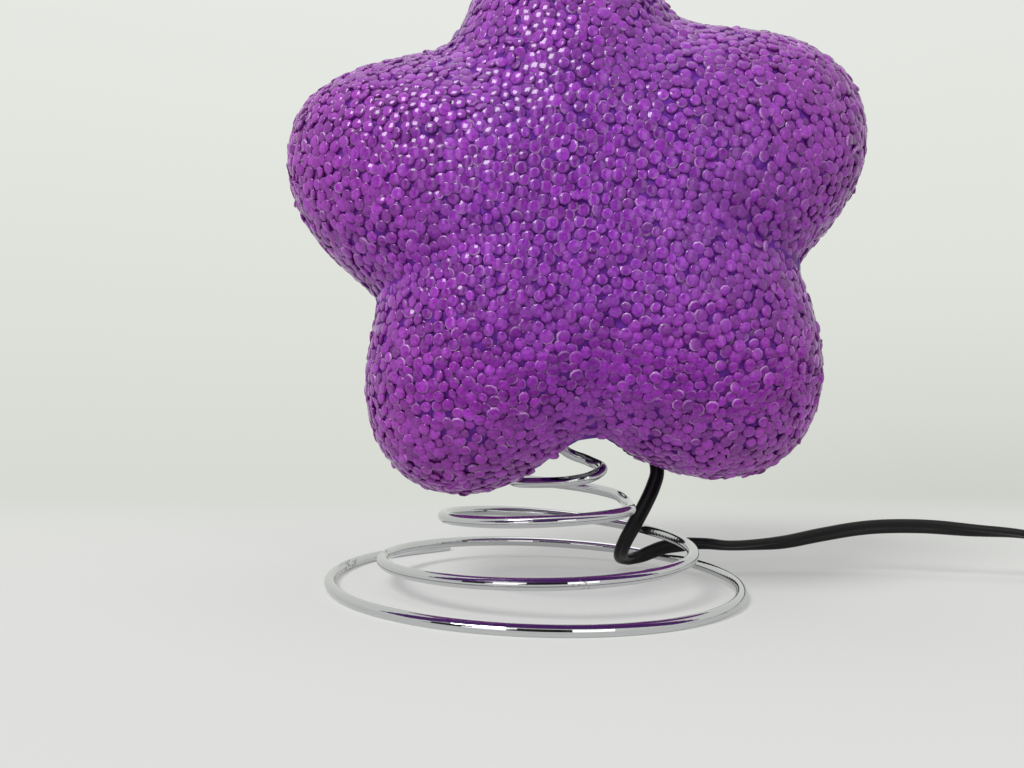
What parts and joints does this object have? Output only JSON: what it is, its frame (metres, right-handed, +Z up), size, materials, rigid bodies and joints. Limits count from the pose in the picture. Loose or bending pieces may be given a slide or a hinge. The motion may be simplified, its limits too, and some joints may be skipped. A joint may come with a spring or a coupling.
{
  "type": "star table lamp",
  "caption": "Star-shaped table lamp: a puffed shade of fused clear granules on a conical wire spring base, with a screw bulb inside, a flat cord, an in-line switch and a plug.",
  "frame": {"origin": "middle of the lamp on the floor, under the box round the shade and the spring", "axes": "+Z up along the neck, +X to the right and -Y to the front, where the star faces"},
  "size_m": [0.4778, 0.1671, 0.2396],
  "materials": {
    "granules": "clear violet plastic granules fused into a bumpy shell",
    "neck_plastic": "plain moulded",
    "holder_plastic": "plain moulded, off-white",
    "contact_board": "brown board",
    "brass": "stamped, bare",
    "lead_black": "insulated lead",
    "black_rubber": "moulded",
    "zinc_steel": "zinc plated",
    "chrome_wire": "bright plated, small rust specks",
    "bulb_glass": "clear",
    "cap_brass": "rolled",
    "black_glass": "fused black insulator",
    "solder": "soldered",
    "filament": "drawn wire",
    "cord_black": "flat twin flex, satin",
    "switch_black": "moulded",
    "wheel_black": "moulded, ribbed",
    "tie_black": "plain strap",
    "plug_black": "moulded",
    "blade_brass": "stamped"
  },
  "bodies": {
    "base": {"spring_base": "chrome_wire", "cord_drop": "cord_black", "cord_run": "cord_black", "switch_lower": "switch_black", "switch_upper": "switch_black", "switch_contact_in": "brass", "switch_contact_out": "brass", "switch_screw_in": "zinc_steel", "switch_screw_out": "zinc_steel", "cord_lead": "cord_black", "cord_coil": "cord_black", "cord_tie": "tie_black", "cord_tail": "cord_black", "plug_relief": "plug_black", "plug_body": "plug_black", "blade_wide": "blade_brass", "blade_narrow": "blade_brass"},
    "head": {"holder_base": "holder_plastic", "holder_sleeve": "holder_plastic", "contact_plate": "contact_board", "screw_shell": "brass", "centre_contact": "brass", "shell_contact": "brass", "lead_live": "lead_black", "lead_neutral": "lead_black", "cord_bushing": "black_rubber", "clamp_bolt": "zinc_steel", "clamp_washer": "zinc_steel", "clamp_nut": "zinc_steel"},
    "shade": {"star_shade": "granules", "shade_collar": "neck_plastic"},
    "bulb": {"bulb_glass": "bulb_glass", "bulb_cap": "cap_brass", "bulb_insulator": "black_glass", "bulb_tip": "solder", "bulb_stem": "bulb_glass", "bulb_filament": "filament"},
    "wheel": {"switch_wheel": "wheel_black"}
  },
  "joints": [
    {"name": "spring_bounce", "type": "slide", "parent": "base", "child": "head", "axis": [0, 0, 1], "range_m": [-0.004, 0.009], "stiffness_N_per_m": 630, "springref_m": 0.0088, "deforming": ["spring_base", "cord_drop"]},
    {"name": "shade_lift", "type": "slide", "parent": "head", "child": "shade", "axis": [0, 0, 1], "range_m": [0, 0.12]},
    {"name": "bulb_turn", "type": "hinge", "parent": "head", "child": "bulb", "pos_m": [0.005, 0, 0.1], "axis": [0, 0, 1], "continuous": true},
    {"name": "switch_turn", "type": "hinge", "parent": "base", "child": "wheel", "pos_m": [0.259, 0.0312, 0.0075], "axis": [0, 0, 1], "continuous": true}
  ]
}
